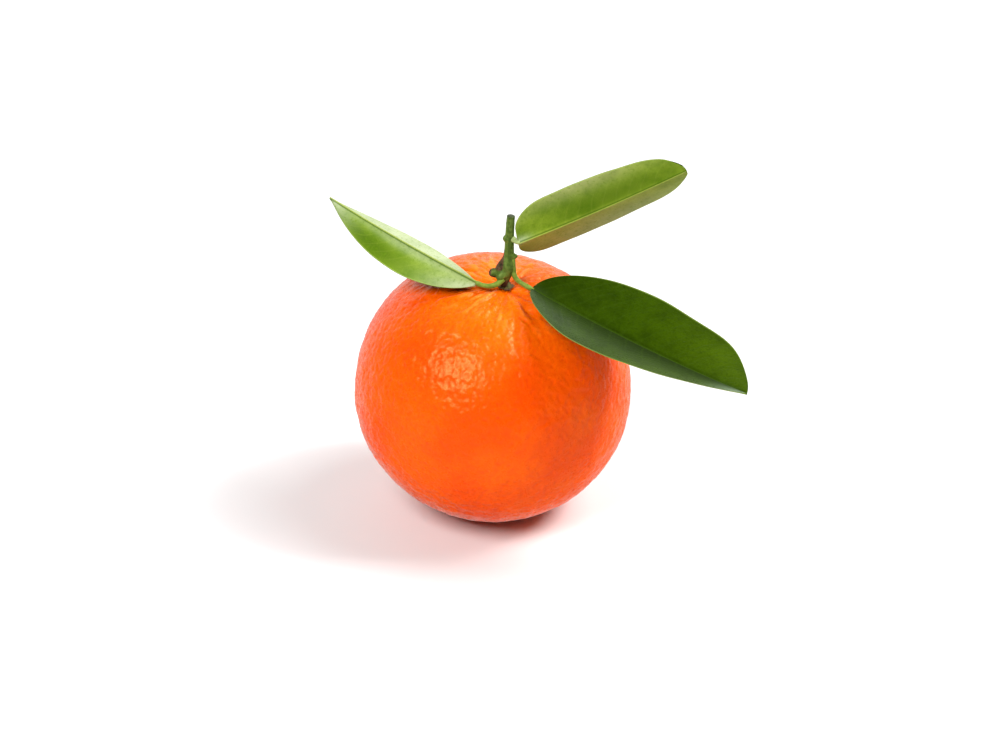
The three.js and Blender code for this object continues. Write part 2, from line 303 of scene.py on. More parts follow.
directions, peel_faces = rounded_cube(PEEL_CELLS)
polar = np.arccos(np.clip(directions[:, 2], -1, 1))
turn = np.arctan2(directions[:, 1], directions[:, 0])
gland_gap, gland_strength = gland_distances(directions)
pit = gland_strength * np.exp(-((gland_gap / GLAND_RADIUS) ** 2))
ball = directions * (FRUIT_DIAMETER / 2)
coarse = noise_over(ball, RIPPLE_LENGTH, 3)
fine = noise_over(ball, RIPPLE_LENGTH / 2.1, 8)
swell = noise_over(ball, SWELL_LENGTH, 12)
near_stem = polar < 2 * RIDGE_END
round_stem = [np.cos(turn) * RIDGES_ROUND, np.sin(turn) * RIDGES_ROUND, polar * RIDGES_DOWN]
stretched = np.stack(round_stem, axis=1)[near_stem]
ridges = np.zeros(len(polar))
ridges[near_stem] = noise_over(stretched, 1, 5) + FINE_RIDGE_SHARE * noise_over(stretched, 0.42, 9)
ridges[near_stem] -= CREASE_SHARE * np.exp(-((noise_over(stretched, 0.7, 21) / CREASE_WIDTH) ** 2))
ridges *= np.clip(polar / RIDGE_START, 0, 1) * np.exp(-((polar / RIDGE_END) ** 3))
style_scar = np.exp(-(((math.pi - polar) / STYLE_SCAR_RADIUS) ** 4))
radius = peel_radius(polar, turn)
radius += RIPPLE_HEIGHT * (coarse + 0.4 * fine) + SWELL_HEIGHT * swell
radius += RIDGE_HEIGHT * ridges - GLAND_DEPTH * pit
radius -= STYLE_SCAR_DEPTH * style_scar
peel_points = (directions * radius[:, None]) @ fruit_turn.T + fruit_middle
peel_points[:, 2] = np.maximum(peel_points[:, 2], 0)

peel = Finish("peel")
pits = peel.stored("pit")
blotches = peel.noise(BLOTCH_LENGTH, detail=3).rise(0.35, 0.68)
freckles = peel.cells(FRECKLE_SPACING).rise(0.24, 0.1) * peel.noise(5 * MM).rise(0.42, 0.62)
skin = blotches.tint(DEEP_ORANGE, BRIGHT_ORANGE)
skin = (peel.stored("stemward").rise(0.72, 1) * 0.5).tint(skin, STEM_END_ORANGE)
skin = (pits * 0.45).tint(skin, PIT_ORANGE)
skin = (freckles * 0.4).tint(skin, FRECKLE_ORANGE)
# Painted highlight: the crests of the ridges round the stem end are lightened towards a pale peach.
skin = (peel.stored("ridge").rise(0, 0.5) * 0.45).tint(skin, RIDGE_HIGHLIGHT_ORANGE)
skin = peel.stored("style_scar").tint(skin, STYLE_SCAR_BROWN)
grain = peel.noise(SKIN_GRAIN, detail=3, roughness=0.6)
peel.set(Base_Color=skin, Roughness=0.22 + 0.1 * grain + 0.08 * pits)
peel.set(Subsurface_Weight=0.12, Subsurface_Radius=FLESH_GLOW, Subsurface_Scale=GLOW_DEPTH)
peel.set(Specular_IOR_Level=0.42, Specular_Tint=PEEL_GLOSS)
peel.bump(0.5 * grain + peel.cells(PORE_SPACING, "SMOOTH_F1"), PORE_DEPTH, 0.9)

make_piece(
    "fruit_peel",
    peel_points,
    peel_faces,
    [peel],
    "fruit",
    {"pit": pit, "ridge": ridges, "stemward": directions[:, 2], "style_scar": style_scar},
)


# Calyx: the dried star of five sepals that holds the fruit to its twig. It lies in the dimple and follows
# the peel under it, thick in the middle and thin and curled at its lobes, grey-green drying to brown.

CALYX_RADIUS = 1.9 * MM
CALYX_LOBES = 5
LOBE_DEPTH = 0.34
CALYX_THICKNESS = 0.7 * MM
CALYX_RIM = 0.22 * MM
CALYX_SIDES = 160
CALYX_STEPS = 22
CALYX_BED = 0.02 * MM
CALYX_CREASE = 0.1 * MM
LOBE_CURL = 0.35 * MM
RAGGED_SHARE = 0.07
JOINT_GAP = 0.3 * MM
SEPAL_GREEN = (0.17, 0.17, 0.035)
SEPAL_BROWN = (0.13, 0.065, 0.02)


def peel_height(radius, turn):
    """Height of the peel over the fruit's middle at a small distance out from its axis."""
    angle = np.arctan2(radius, FRUIT_HEIGHT / 2)
    return peel_radius(angle, turn) * np.cos(angle)


def ring_faces(rings, sides, first=0):
    """Square faces between rings of points."""
    places = np.meshgrid(np.arange(rings - 1), np.arange(sides), indexing="ij")
    ring, side = (grid.ravel() for grid in places)
    here = first + ring * sides + side
    beside = first + ring * sides + (side + 1) % sides
    return np.stack([here, beside, beside + sides, here + sides], axis=1).tolist()


def capped(rings):
    """Points and faces of a closed skin over rings, an array of rings by sides by 3."""
    count, sides, _ = rings.shape
    faces = ring_faces(count, sides)
    faces.append(list(range(sides))[::-1])
    faces.append(list(range((count - 1) * sides, count * sides)))
    return rings.reshape(-1, 3), faces


calyx_turn = np.arange(CALYX_SIDES) * 2 * math.pi / CALYX_SIDES
lobe = np.abs(np.cos(CALYX_LOBES * calyx_turn / 2)) ** 0.8
ragged = noise_over(np.stack([np.cos(calyx_turn), np.sin(calyx_turn), calyx_turn * 0], axis=1), 0.35, 2)
calyx_reach = CALYX_RADIUS * (1 - LOBE_DEPTH * (1 - lobe) + RAGGED_SHARE * ragged)
calyx_rings = []
for step in range(2 * CALYX_STEPS + 1):
    outward = 1 - abs(1 - step / CALYX_STEPS)
    share = max(math.sin(outward * math.pi / 2), 0.02)
    ring_radius = calyx_reach * share
    lift = np.full(CALYX_SIDES, CALYX_BED)
    if step > CALYX_STEPS:
        crown = CALYX_RIM + (CALYX_THICKNESS - CALYX_RIM) * (1 - share**2) ** 1.5
        crease = CALYX_CREASE * np.cos(CALYX_LOBES * 3 * calyx_turn) * share
        lift = lift + crown * math.cos(outward * math.pi / 2) ** 0.25 + crease * (1 - share)
    lift = lift + LOBE_CURL * share**4 * lobe
    height = peel_height(ring_radius, calyx_turn) + lift
    ring = [ring_radius * np.cos(calyx_turn), ring_radius * np.sin(calyx_turn), height]
    calyx_rings.append(np.stack(ring, axis=1))
calyx_rings = np.array(calyx_rings)
calyx_edge = np.linalg.norm(calyx_rings[:, :, :2], axis=2).ravel() / CALYX_RADIUS
calyx_points, calyx_faces = capped(calyx_rings)

calyx = Finish("calyx")
dried = calyx.stored("edge").rise(0.35, 0.95) * 0.6 + calyx.noise(0.9 * MM, detail=4) * 0.5
bract = dried.rise(0.3, 0.8).tint(SEPAL_GREEN, SEPAL_BROWN)
calyx.set(Base_Color=bract, Roughness=0.72)
calyx.bump(calyx.noise(0.35 * MM, detail=4, roughness=0.7), 0.08 * MM)
make_piece(
    "calyx_star",
    calyx_points @ fruit_turn.T + fruit_middle,
    calyx_faces,
    [calyx],
    "calyx",
    {"edge": calyx_edge},
)


# Twig: the cut end of a young shoot, green and faintly ribbed. Low down it swells into a node with the
# brown scar of an old leaf, a short side shoot broken off, and a knob that the left stalk springs from.
# Higher up it has a scar on the left and a bud on the right. Its top is cut square and has dried dark.

STEM_HEIGHT = 15.2 * MM
STEM_FOOT_RADIUS = 1.0 * MM
NODE_RADIUS = 1.75 * MM
NODE_HEIGHT = 3.4 * MM
NODE_LENGTH = 4.2 * MM
STEM_MIDDLE_RADIUS = 1.14 * MM
STEM_TOP_RADIUS = 0.86 * MM
STEM_LEAN = math.radians(4.5)
STUB_HEIGHT = 1.9 * MM
STUB_LENGTH = 3.7 * MM
STUB_STATIONS = 24
TWIG_VOXEL = 0.13 * MM
TWIG_SMOOTHING = 6
GROOVE_DEPTH = 0.07 * MM
BARK_GRAIN = 0.03 * MM
HOLE_RADIUS = 0.5 * MM
HOLE_DEPTH = 0.3 * MM
SHADED_GREEN = (0.055, 0.1, 0.012)
SHOOT_GREEN = (0.125, 0.19, 0.03)
DARK_CORK = (0.03, 0.014, 0.008)
PALE_CORK = (0.13, 0.065, 0.035)
CUT_WOOD = (0.035, 0.045, 0.02)
HOLE_SHADE = (0.012, 0.008, 0.006)
SHOOT_GLOSS = (0.8, 1, 0.45, 1)

twig_turn = np.array(Matrix.Rotation(STEM_LEAN, 3, "Y"))
stem_foot = float(peel_height(0.0, 0.0)) + CALYX_THICKNESS + 2 * JOINT_GAP
twig_foot = fruit_middle + fruit_axis * stem_foot


def from_twig(points):
    """Moves points from the twig's own frame, foot at the origin and length up +Z, into place."""
    return np.asarray(points) @ twig_turn.T + twig_foot


def stem_radius(height):
    share = height / STEM_HEIGHT
    shaft = STEM_MIDDLE_RADIUS + (STEM_TOP_RADIUS - STEM_MIDDLE_RADIUS) * share
    foot = STEM_FOOT_RADIUS + (shaft - STEM_FOOT_RADIUS) * np.clip(height / NODE_HEIGHT, 0, 1)
    swelling = np.exp(-(((height - NODE_HEIGHT) / (NODE_LENGTH / 2)) ** 2))
    return foot + (NODE_RADIUS - STEM_MIDDLE_RADIUS) * swelling


def tube(path, radii, sides=24):
    """Rings round a path: an array of points, and a radius for each."""
    path = np.asarray(path, dtype=float)
    along = np.gradient(path, axis=0)
    along /= np.linalg.norm(along, axis=1)[:, None]
    side = np.cross(along[0], (0.3, 0.9, 0.31))
    angles = np.arange(sides) * 2 * math.pi / sides
    rings = []
    for point, forward, radius in zip(path, along, radii):
        side = side - forward * (side @ forward)
        side /= np.linalg.norm(side)
        up = np.cross(forward, side)
        spokes = np.outer(np.cos(angles), side) + np.outer(np.sin(angles), up)
        rings.append(point + spokes * radius)
    return np.array(rings)


def bezier(start, start_pull, end_pull, end, steps):
    share = np.linspace(0, 1, steps)[:, None]
    rest = 1 - share
    ends = rest**3 * start + share**3 * end
    return ends + 3 * rest**2 * share * start_pull + 3 * rest * share**2 * end_pull


def merged_skin(tubes, voxel):
    """One smooth closed skin over several closed tubes, as points and faces."""
    mesh = bpy.data.meshes.new("rough")
    points = []
    faces = []
    for rings in tubes:
        tube_points, tube_faces = capped(rings)
        faces += [[index + len(points) for index in face] for face in tube_faces]
        points += tube_points.tolist()
    mesh.from_pydata(points, [], faces)
    rough = bpy.data.objects.new("rough", mesh)
    bpy.context.scene.collection.objects.link(rough)
    remesh = rough.modifiers.new("remesh", "REMESH")
    remesh.mode = "VOXEL"
    remesh.voxel_size = voxel
    smooth = rough.modifiers.new("smooth", "SMOOTH")
    smooth.iterations = TWIG_SMOOTHING
    shaped = bpy.data.meshes.new_from_object(rough.evaluated_get(bpy.context.evaluated_depsgraph_get()))
    skin = np.array([vertex.co for vertex in shaped.vertices])
    normals = np.array([vertex.normal for vertex in shaped.vertices])
    sides = [tuple(face.vertices) for face in shaped.polygons]
    bpy.data.objects.remove(rough)
    return skin, normals, sides


heights = np.linspace(-0.9 * MM, STEM_HEIGHT, 70)
sway = 0.15 * MM * np.sin(heights / STEM_HEIGHT * math.pi * 1.6)
sway -= 0.5 * MM * np.clip(1 - heights / (6 * MM), 0, 1) ** 1.5
stem_path = np.stack([sway, heights * 0, heights], axis=1)
shaft_radii = stem_radius(np.maximum(heights, 0)) * np.where(heights < 0, 0.9, 1)
stub_path = bezier(
    np.array([0, 0.2, STUB_HEIGHT / MM]) * MM,
    np.array([-1.6, 0.1, STUB_HEIGHT / MM - 0.2]) * MM,
    np.array([-2.8, 0, STUB_HEIGHT / MM - 0.1]) * MM,
    np.array([-STUB_LENGTH / MM, -0.1, STUB_HEIGHT / MM + 0.25]) * MM,
    STUB_STATIONS,
)
stub_share = np.linspace(0, 1, STUB_STATIONS)
stub_radii = (1.2 - 0.3 * stub_share) * np.sqrt(1 - 0.93 * np.clip(stub_share * 4 - 3, 0, 1) ** 2) * MM
knob_path = np.array([[-0.4, -0.5, 2.4], [-1.0, -1.1, 2.0], [-1.45, -1.5, 1.5], [-1.65, -1.8, 1.1]]) * MM
flank_path = np.array([[-0.3, -0.2, 5.6], [-0.9, -0.4, 4.2], [-1.4, -0.3, 3.0], [-1.8, -0.1, 2.0]]) * MM
bud_path = np.array([[0.7, -0.3, 6.0], [1.25, -0.5, 6.2], [1.65, -0.6, 6.3], [1.95, -0.65, 6.45]]) * MM
scar_path = np.array([[-0.5, -0.1, 9.9], [-0.95, -0.2, 10.1], [-1.3, -0.25, 10.3]]) * MM
twig_tubes = [
    tube(stem_path, shaft_radii, 32),
    tube(stub_path, stub_radii),
    tube(knob_path, np.array([1.1, 1.0, 0.85, 0.62]) * MM),
    tube(flank_path, np.array([0.8, 1.0, 1.1, 0.9]) * MM),
    tube(bud_path, np.array([0.8, 0.62, 0.45, 0.18]) * MM),
    tube(scar_path, np.array([0.95, 0.7, 0.42]) * MM),
]
twig_skin, twig_normals, twig_faces = merged_skin(twig_tubes, TWIG_VOXEL)
twig_heading = np.arctan2(twig_skin[:, 1], twig_skin[:, 0])
lengthwise = [np.cos(twig_heading) * 2.6, np.sin(twig_heading) * 2.6, twig_skin[:, 2] / (7 * MM)]
grooves = noise_over(np.stack(lengthwise, axis=1), 1, 4)
roughened = noise_over(twig_skin, 0.8 * MM, 6)
relief = GROOVE_DEPTH * grooves + BARK_GRAIN * roughened
top_face = np.clip((twig_skin[:, 2] - STEM_HEIGHT + 0.35 * MM) / (0.3 * MM), 0, 1)
relief = relief * (1 - top_face)
twig_skin = twig_skin + twig_normals * relief[:, None]

left_side = np.clip((-twig_skin[:, 0] / MM - 0.65) / 0.6, 0, 1)
strip = left_side * np.exp(-(((twig_skin[:, 2] / MM - 5.3) / 2.4) ** 4))
hole_middle = np.array([-1.35, -0.95, 4.3]) * MM
hole = np.exp(-((np.linalg.norm(twig_skin - hole_middle, axis=1) / HOLE_RADIUS) ** 4))
twig_skin -= twig_normals * (HOLE_DEPTH * hole)[:, None]
# The stub is browner along its underside and at its broken end.
stub_brown = np.clip(-twig_skin[:, 0] / MM - 1.7, 0, 1) * np.clip(2 - twig_skin[:, 2] / MM, 0, 1)
stub_brown = np.maximum(stub_brown, np.clip((-twig_skin[:, 0] / MM - 3.2) / 0.3, 0, 1))
foot_dry = np.clip(1 - twig_skin[:, 2] / (1.4 * MM), 0, 1)
bark = np.clip(strip + stub_brown + 0.8 * foot_dry, 0, 1)

twig = Finish("twig")
streaks = 0.25 * twig.stored("groove") + twig.noise(0.7 * MM, detail=4, roughness=0.6)
green = streaks.rise(0.3, 0.7).tint(SHADED_GREEN, SHOOT_GREEN)
browned = (twig.stored("bark") * 1.3 + streaks - 0.5).rise(0.25, 0.75)
cork = streaks.rise(0.35, 0.65).tint(DARK_CORK, PALE_CORK)
wood = browned.tint(green, cork)
wood = twig.stored("cut").tint(wood, CUT_WOOD)
# Painted shade: the small hole low on the twig is coloured near black for the shade inside it.
wood = (twig.stored("hole") * 0.9).tint(wood, HOLE_SHADE)
twig.set(Base_Color=wood, Roughness=0.45 + 0.3 * browned)
twig.set(Specular_IOR_Level=0.35, Specular_Tint=SHOOT_GLOSS)
twig.bump(twig.noise(0.3 * MM, detail=4, roughness=0.65), 0.06 * MM)
make_piece(
    "twig_shoot",
    from_twig(twig_skin),
    twig_faces,
    [twig],
    "stem",
    {"bark": bark, "cut": top_face, "hole": hole, "groove": grooves},
)


# Leaves: three thin leathery blades folded along the midrib, each on a short round stalk that meets it at a
# joint. The upper side is dark and waxy with a sunken midrib, the underside pale and dull with a raised
# one, and fine side veins curve out to a pale thin margin. Two of the three show their underside.

BLADE_THICKNESS = 0.36 * MM
BLADE_FOOT_WIDTH = 1.5 * MM
BLADE_TIP_WIDTH = 0.4 * MM
BLADE_STATIONS = 170
BLADE_STEPS = 26
MIDRIB_WIDTH = 0.42 * MM
MIDRIB_FOOT = 0.5 * MM
MIDRIB_TIP = 0.1 * MM
MIDRIB_GROOVE = 0.2 * MM
VEIN_COUNT = 13
VEIN_SLANT = 0.15
VEIN_RELIEF = 0.035 * MM
STALK_RADIUS = 0.47 * MM
STALK_FOOT_RADIUS = 0.72 * MM
STALK_STATIONS = 40
STALK_SIDES = 28
WAX_STREAK_COUNT = 40
WAX_BLADE = ((0.012, 0.028, 0.0002), (0.026, 0.055, 0.0004))
# Painted light and shade on the waxy upper side: a lit brighter green, a painted shade and a painted
# grey-green sheen.
WAX_TONES = {
    "painted_light": (0.052, 0.095, 0.0008),
    "painted_shade": (0.006, 0.014, 0.0001),
    "pale_and_sheen": (0.22, 0.29, 0.19),
}
WAX_VEIN = (0.032, 0.066, 0.004)
WAX_MARGIN = (0.2, 0.27, 0.05)
WAX_GLOSS = (0.6, 1, 0.15, 1)
DULL_BLADE = ((0.1, 0.185, 0.005), (0.22, 0.32, 0.02))
# Painted light and shade on the underside: the orange the fruit reflects onto the shaded half, a painted
# shade, and a painted whitish sheen and glow.
DULL_TONES = {
    "painted_light": (0.5, 0.39, 0.08),
    "painted_shade": (0.045, 0.102, 0.001),
    "pale_and_sheen": (0.49, 0.54, 0.36),
}
DULL_VEIN = (0.32, 0.38, 0.06)
DULL_MARGIN = (0.4, 0.5, 0.12)
LEAF_GLOSS = (0.75, 1, 0.35, 1)
STALK_GREEN = (0.1, 0.175, 0.012)
STALK_BRIGHT = (0.18, 0.27, 0.03)
STALK_PALE = (0.4, 0.47, 0.2)

# A patch is a tone of painted light or shade, a half, its place and length along the blade, its place and
# width out from the midrib, and its strength. Joint and stalk are a heading, a distance out and a height on
# the twig. Turn is heading, pitch and roll. Turn, fold, arch, curl and sweep are in degrees. Fuller swells
# the outline of one half.
LEAVES = [
    {
        "name": "left",
        "shows": "underside",
        "patches": [
            ("pale_and_sheen", 1, 0.5, 2, 0.6, 2, 0.85),
            ("painted_shade", -1, 0.62, 0.3, 0.7, 0.45, 1.0),
            ("pale_and_sheen", -1, 0.02, 0.2, 0.9, 0.7, 0.75),
            ("pale_and_sheen", -1, 1, 0.16, 0.4, 1, 0.8),
            ("pale_and_sheen", -1, 0.4, 0.35, 0.12, 0.16, 0.35),
        ],
        "joint": (math.radians(-160), 6.6 * MM, 0 * MM),
        "stalk": (math.radians(-125), 1.6 * MM, 1.1 * MM),
        "stalk_dip": math.radians(35),
        "stalk_pull": 0.42,
        "stalk_pale": 0.05,
        "turn": (160, 16.5, 168),
        "length": 39 * MM,
        "width": 13.4 * MM,
        "fold": 27,
        "arch": -10,
        "curl": 12,
        "sweep": 21,
        "shape": (0.79, 1.1),
        "wave": 0.05 * MM,
        "notch": 0 * MM,
        "fuller": [],
    },
    {
        "name": "upper",
        "shows": "underside",
        "patches": [
            ("pale_and_sheen", -1, 0.45, 0.35, 1, 0.3, 0.3),
            ("painted_light", -1, 0.45, 0.35, 1, 0.3, 0.35),
            ("painted_shade", -1, 0.6, 0.34, 0.25, 0.36, 0.6),
            ("painted_shade", -1, 1, 0.1, 0.9, 0.5, 0.3),
            ("painted_light", 1, 0.05, 0.7, 0.3, 1, 0.85),
            ("pale_and_sheen", 1, 0.6, 0.4, 1, 0.6, 0.35),
            ("painted_shade", 1, 0, 0.1, 0.8, 0.6, 0.5),
        ],
        "joint": (math.radians(-48), 2.45 * MM, 10.2 * MM),
        "stalk": (math.radians(-25), 0.5 * MM, 10.0 * MM),
        "stalk_dip": math.radians(0),
        "stalk_pull": 0.4,
        "stalk_pale": 0.75,
        "turn": (16.5, 19.8, -73),
        "length": 36.9 * MM,
        "width": 15.8 * MM,
        "fold": 21,
        "arch": -9,
        "curl": -10.5,
        "sweep": -17,
        "shape": (0.28, 0.31),
        "wave": 0.06 * MM,
        "notch": 1.3 * MM,
        "fuller": [
            (1, 0.1, 0.14, 0.2),
            (1, 0.9, 0.12, 0.12),
            (-1, 0.12, 0.14, 0.1),
            (-1, 0.7, 0.15, -0.03),
        ],
    },
    {
        "name": "lower",
        "shows": "upper side",
        "patches": [
            ("painted_shade", -1, 0.55, 0.5, 0, 0.42, 1.0),
            ("painted_shade", 1, 0, 0.3, 0.2, 0.4, 0.4),
            ("pale_and_sheen", -1, 0.12, 0.2, 0.8, 0.3, 0.1),
            ("pale_and_sheen", -1, 1, 0.09, 0.7, 0.6, 0.8),
            ("painted_light", 1, 0.85, 0.3, 0.6, 0.6, 0.8),
            ("painted_light", -1, 0.75, 0.25, 0.9, 0.4, 0.5),
        ],
        "joint": (math.radians(-25), 6.1 * MM, 0.1 * MM),
        "stalk": (math.radians(-20), 0.9 * MM, 5.6 * MM),
        "stalk_dip": math.radians(80),
        "stalk_pull": 0.62,
        "stalk_pale": 0.05,
        "turn": (-24, -16, 8),
        "length": 53.2 * MM,
        "width": 26 * MM,
        "fold": 18,
        "arch": -6,
        "curl": 20.5,
        "sweep": -17,
        "shape": (0.55, 0.73),
        "wave": 0.08 * MM,
        "notch": 0 * MM,
        "fuller": [(-1, 0.28, 0.2, 0.14), (1, 0.82, 0.14, 0.17), (1, 0.35, 0.2, 0.03)],
    },
]


def blade_frame(leaf):
    """The rotation of a blade in the twig's frame: heading, then pitch, then roll about its length."""
    heading, pitch, roll = (math.radians(angle) for angle in leaf["turn"])
    turned = Matrix.Rotation(heading, 3, "Z") @ Matrix.Rotation(-pitch, 3, "Y")
    return np.array(turned @ Matrix.Rotation(roll, 3, "X"))


def blade_skin(leaf):
    """Rings round a blade in its own frame, with each point's place along, across and over it."""
    share = np.linspace(0, 1, BLADE_STATIONS)
    curl = math.radians(leaf["curl"]) * share
    sweep = math.radians(leaf["sweep"]) * share
    along = np.stack([np.cos(sweep) * np.cos(curl), np.sin(sweep) * np.cos(curl), np.sin(curl)], axis=1)
    step = leaf["length"] / (BLADE_STATIONS - 1)
    middle = np.concatenate([np.zeros((1, 3)), np.cumsum((along[1:] + along[:-1]) * step / 2, axis=0)])
    out = np.array([0, 0, 1]) - along * along[:, 2:]
    out /= np.linalg.norm(out, axis=1)[:, None]
    left = np.cross(out, along)

    foot_shape, tip_shape = leaf["shape"]
    peak = foot_shape / (foot_shape + tip_shape)
    tallest = peak**foot_shape * (1 - peak) ** tip_shape
    outline = share**foot_shape * (1 - share) ** tip_shape / tallest
    least = BLADE_FOOT_WIDTH + (BLADE_TIP_WIDTH - BLADE_FOOT_WIDTH) * share
    half = np.hypot(leaf["width"] * outline, least)[:, None] / 2

    even = np.linspace(0, 1, BLADE_STEPS + 1)
    spaced = even**2 * (3 - 2 * even)
    upper = np.concatenate([spaced[::-1], -spaced[1:]])
    under = upper[::-1][1:-1]
    across = np.concatenate([upper, under])
    underside = np.concatenate([upper * 0, under * 0 + 1]) > 0.5
    side = np.abs(across)

    place = share[:, None]
    for which, middle_place, spread, fuller in leaf["fuller"]:
        bulge = fuller * np.exp(-(((place - middle_place) / spread) ** 2))
        half = half * (1 + bulge * (which * across > 0))
    steepness = np.radians(leaf["fold"] + leaf["arch"] * side / 2)
    sideways = across * half * np.cos(steepness)
    rise = side * half * np.sin(steepness)
    gap = side * half
    phase = place * math.tau
    wave = np.sin(phase * 1.7 + np.sign(across) * 1.3) + 0.5 * np.sin(phase * 4.3 + across * 2)
    rise = rise + leaf["wave"] * side**2 * wave * np.sin(math.pi * place)
    vein = (place - VEIN_SLANT * side**1.4) * VEIN_COUNT + 0.25 * np.sign(across)
    ridge = np.exp(-(((vein % 1 - 0.5) / 0.13) ** 2)) * np.clip(gap / (0.6 * MM), 0, 1) * (1 - side**4)
    proud = MIDRIB_FOOT + (MIDRIB_TIP - MIDRIB_FOOT) * place
    rib = np.exp(-((gap / MIDRIB_WIDTH) ** 2))
    thin = 1 - 0.75 * side**6
    lower_drop = BLADE_THICKNESS * thin + proud * rib + VEIN_RELIEF * ridge
    upper_drop = MIDRIB_GROOVE * (1 - 0.6 * place) * np.exp(-((gap / (0.55 * MIDRIB_WIDTH)) ** 2))
    upper_drop = upper_drop * np.clip(place * 12, 0, 1) + 1.2 * VEIN_RELIEF * ridge
    rise = rise - np.where(underside, lower_drop, upper_drop)
    points = middle[:, None] + left[:, None] * sideways[..., None] + out[:, None] * rise[..., None]
    notch = leaf["notch"] * 4 * side * (1 - side) * place**8
    points += along[:, None] * notch[..., None]
    spread = np.broadcast_to(across, points.shape[:2])
    return points, np.broadcast_to(place, points.shape[:2]), spread, gap, underside


def patches_over(leaf, tone, along, across):
    """How strongly one tone of painted light or shade shows: soft patches, each on one half of the blade at
    its own place.
    """
    total = np.zeros(along.shape)
    for name, half, place, length, out, width, amount in leaf["patches"]:
        if name == tone:
            soft = np.exp(-(((along - place) / length) ** 2) - ((np.abs(across) - out) / width) ** 2)
            total += amount * soft * np.clip(0.5 + half * across * 5, 0, 1)
    return np.clip(total, 0, 1)


def leaf_finish(name, blade, tones, vein, margin, vein_share, dullness):
    """A leaf surface: blade, painted light and shade, vein and margin colours, how much the veins show, and
    its dullness.
    """
    finish = Finish(name)
    along = finish.stored("along")
    across = finish.stored("across")
    side = abs(across)
    wander = finish.noise(3 * MM, detail=2)
    slot = (along - VEIN_SLANT * side**1.4) * VEIN_COUNT + 0.25 * across.sign()
    slot = slot + 0.35 * (wander - 0.5)
    beat = abs(slot.fraction() - 0.5)
    veins = (1 - beat.rise(0.02, 0.1)) * (1 - side.rise(0.7, 1)) * vein_share
    net = 1 - finish.cells(1.3 * MM, "DISTANCE_TO_EDGE").rise(0.02, 0.09)
    midrib = 1 - finish.stored("gap").rise(0.1, 0.26)
    mottle = finish.noise(6 * MM, detail=6, roughness=0.72).rise(0.3, 0.7)
    speckle = finish.noise(0.55 * MM, detail=2).rise(0.52, 0.72)
    colour = mottle.tint(blade[0], blade[1])
    # Painted light, shade and sheen, each laid over the blade colour where its patches lie.
    for tone in tones:
        colour = (finish.stored(tone) * (0.7 + 0.3 * mottle)).tint(colour, tones[tone])
    colour = (speckle * 0.42).tint(colour, blade[0])
    colour = (net * vein_share * 0.4).tint(colour, vein)
    colour = veins.tint(colour, vein)
    colour = (midrib * 0.85).tint(colour, vein)
    shaded = finish.stored("gap").rise(0.12, 0.24) * (1 - finish.stored("gap").rise(0.28, 0.5))
    colour = (shaded * (1 - across.rise(-0.01, 0.01)) * 0.8).tint(colour, tones["painted_shade"])
    colour = (side.rise(0.965, 0.995) * 0.7).tint(colour, margin)
    grain = finish.noise(0.5 * MM, detail=3, roughness=0.6)
    roughness = dullness + 0.12 * grain + 0.2 * finish.stored("painted_shade")
    finish.set(Base_Color=colour, Roughness=roughness, Specular_Tint=LEAF_GLOSS)
    finish.bump(0.5 * grain + 0.5 * net + 0.4 * mottle + 3 * veins, 0.04 * MM, 0.8)
    return finish


waxy_side = leaf_finish(
    "leaf_upper_side",
    blade=WAX_BLADE,
    tones=WAX_TONES,
    vein=WAX_VEIN,
    margin=WAX_MARGIN,
    vein_share=0.16,
    dullness=0.22,
)
waxy_side.set(Specular_IOR_Level=0.07, Specular_Tint=WAX_GLOSS, Coat_Roughness=0.16)
wax_along = waxy_side.stored("along")
wax_out = abs(waxy_side.stored("across"))
wax_slot = (wax_along - VEIN_SLANT * wax_out**1.4) * WAX_STREAK_COUNT
wax_place = wax_along.node("ShaderNodeCombineXYZ", inputs={0: wax_slot, 1: wax_out * 1.5})
wax_streaks = wax_along.node("ShaderNodeTexNoise", inputs={"Vector": wax_place, "Scale": 1, "Detail": 2})
waxy_side.set(Coat_Weight=(1 - wax_along.rise(0.02, 0.5)) * wax_streaks.rise(0.5, 0.72) * 0.22)
dull_side = leaf_finish(
    "leaf_underside",
    blade=DULL_BLADE,
    tones=DULL_TONES,
    vein=DULL_VEIN,
    margin=DULL_MARGIN,
    vein_share=0.08,
    dullness=0.5,
)
dull_side.set(Specular_IOR_Level=0.12)

stalk_finish = Finish("leaf_stalk")
stalk_green = stalk_finish.noise(0.8 * MM, detail=3).rise(0.3, 0.7)
stalk_colour = stalk_green.tint(STALK_GREEN, STALK_BRIGHT)
stalk_colour = stalk_finish.stored("pale_and_sheen").tint(stalk_colour, STALK_PALE)
stalk_finish.set(Specular_IOR_Level=0.35, Specular_Tint=SHOOT_GLOSS)
stalk_finish.set(Base_Color=stalk_colour, Roughness=0.42)
stalk_finish.bump(stalk_finish.noise(0.3 * MM, detail=3), 0.04 * MM)

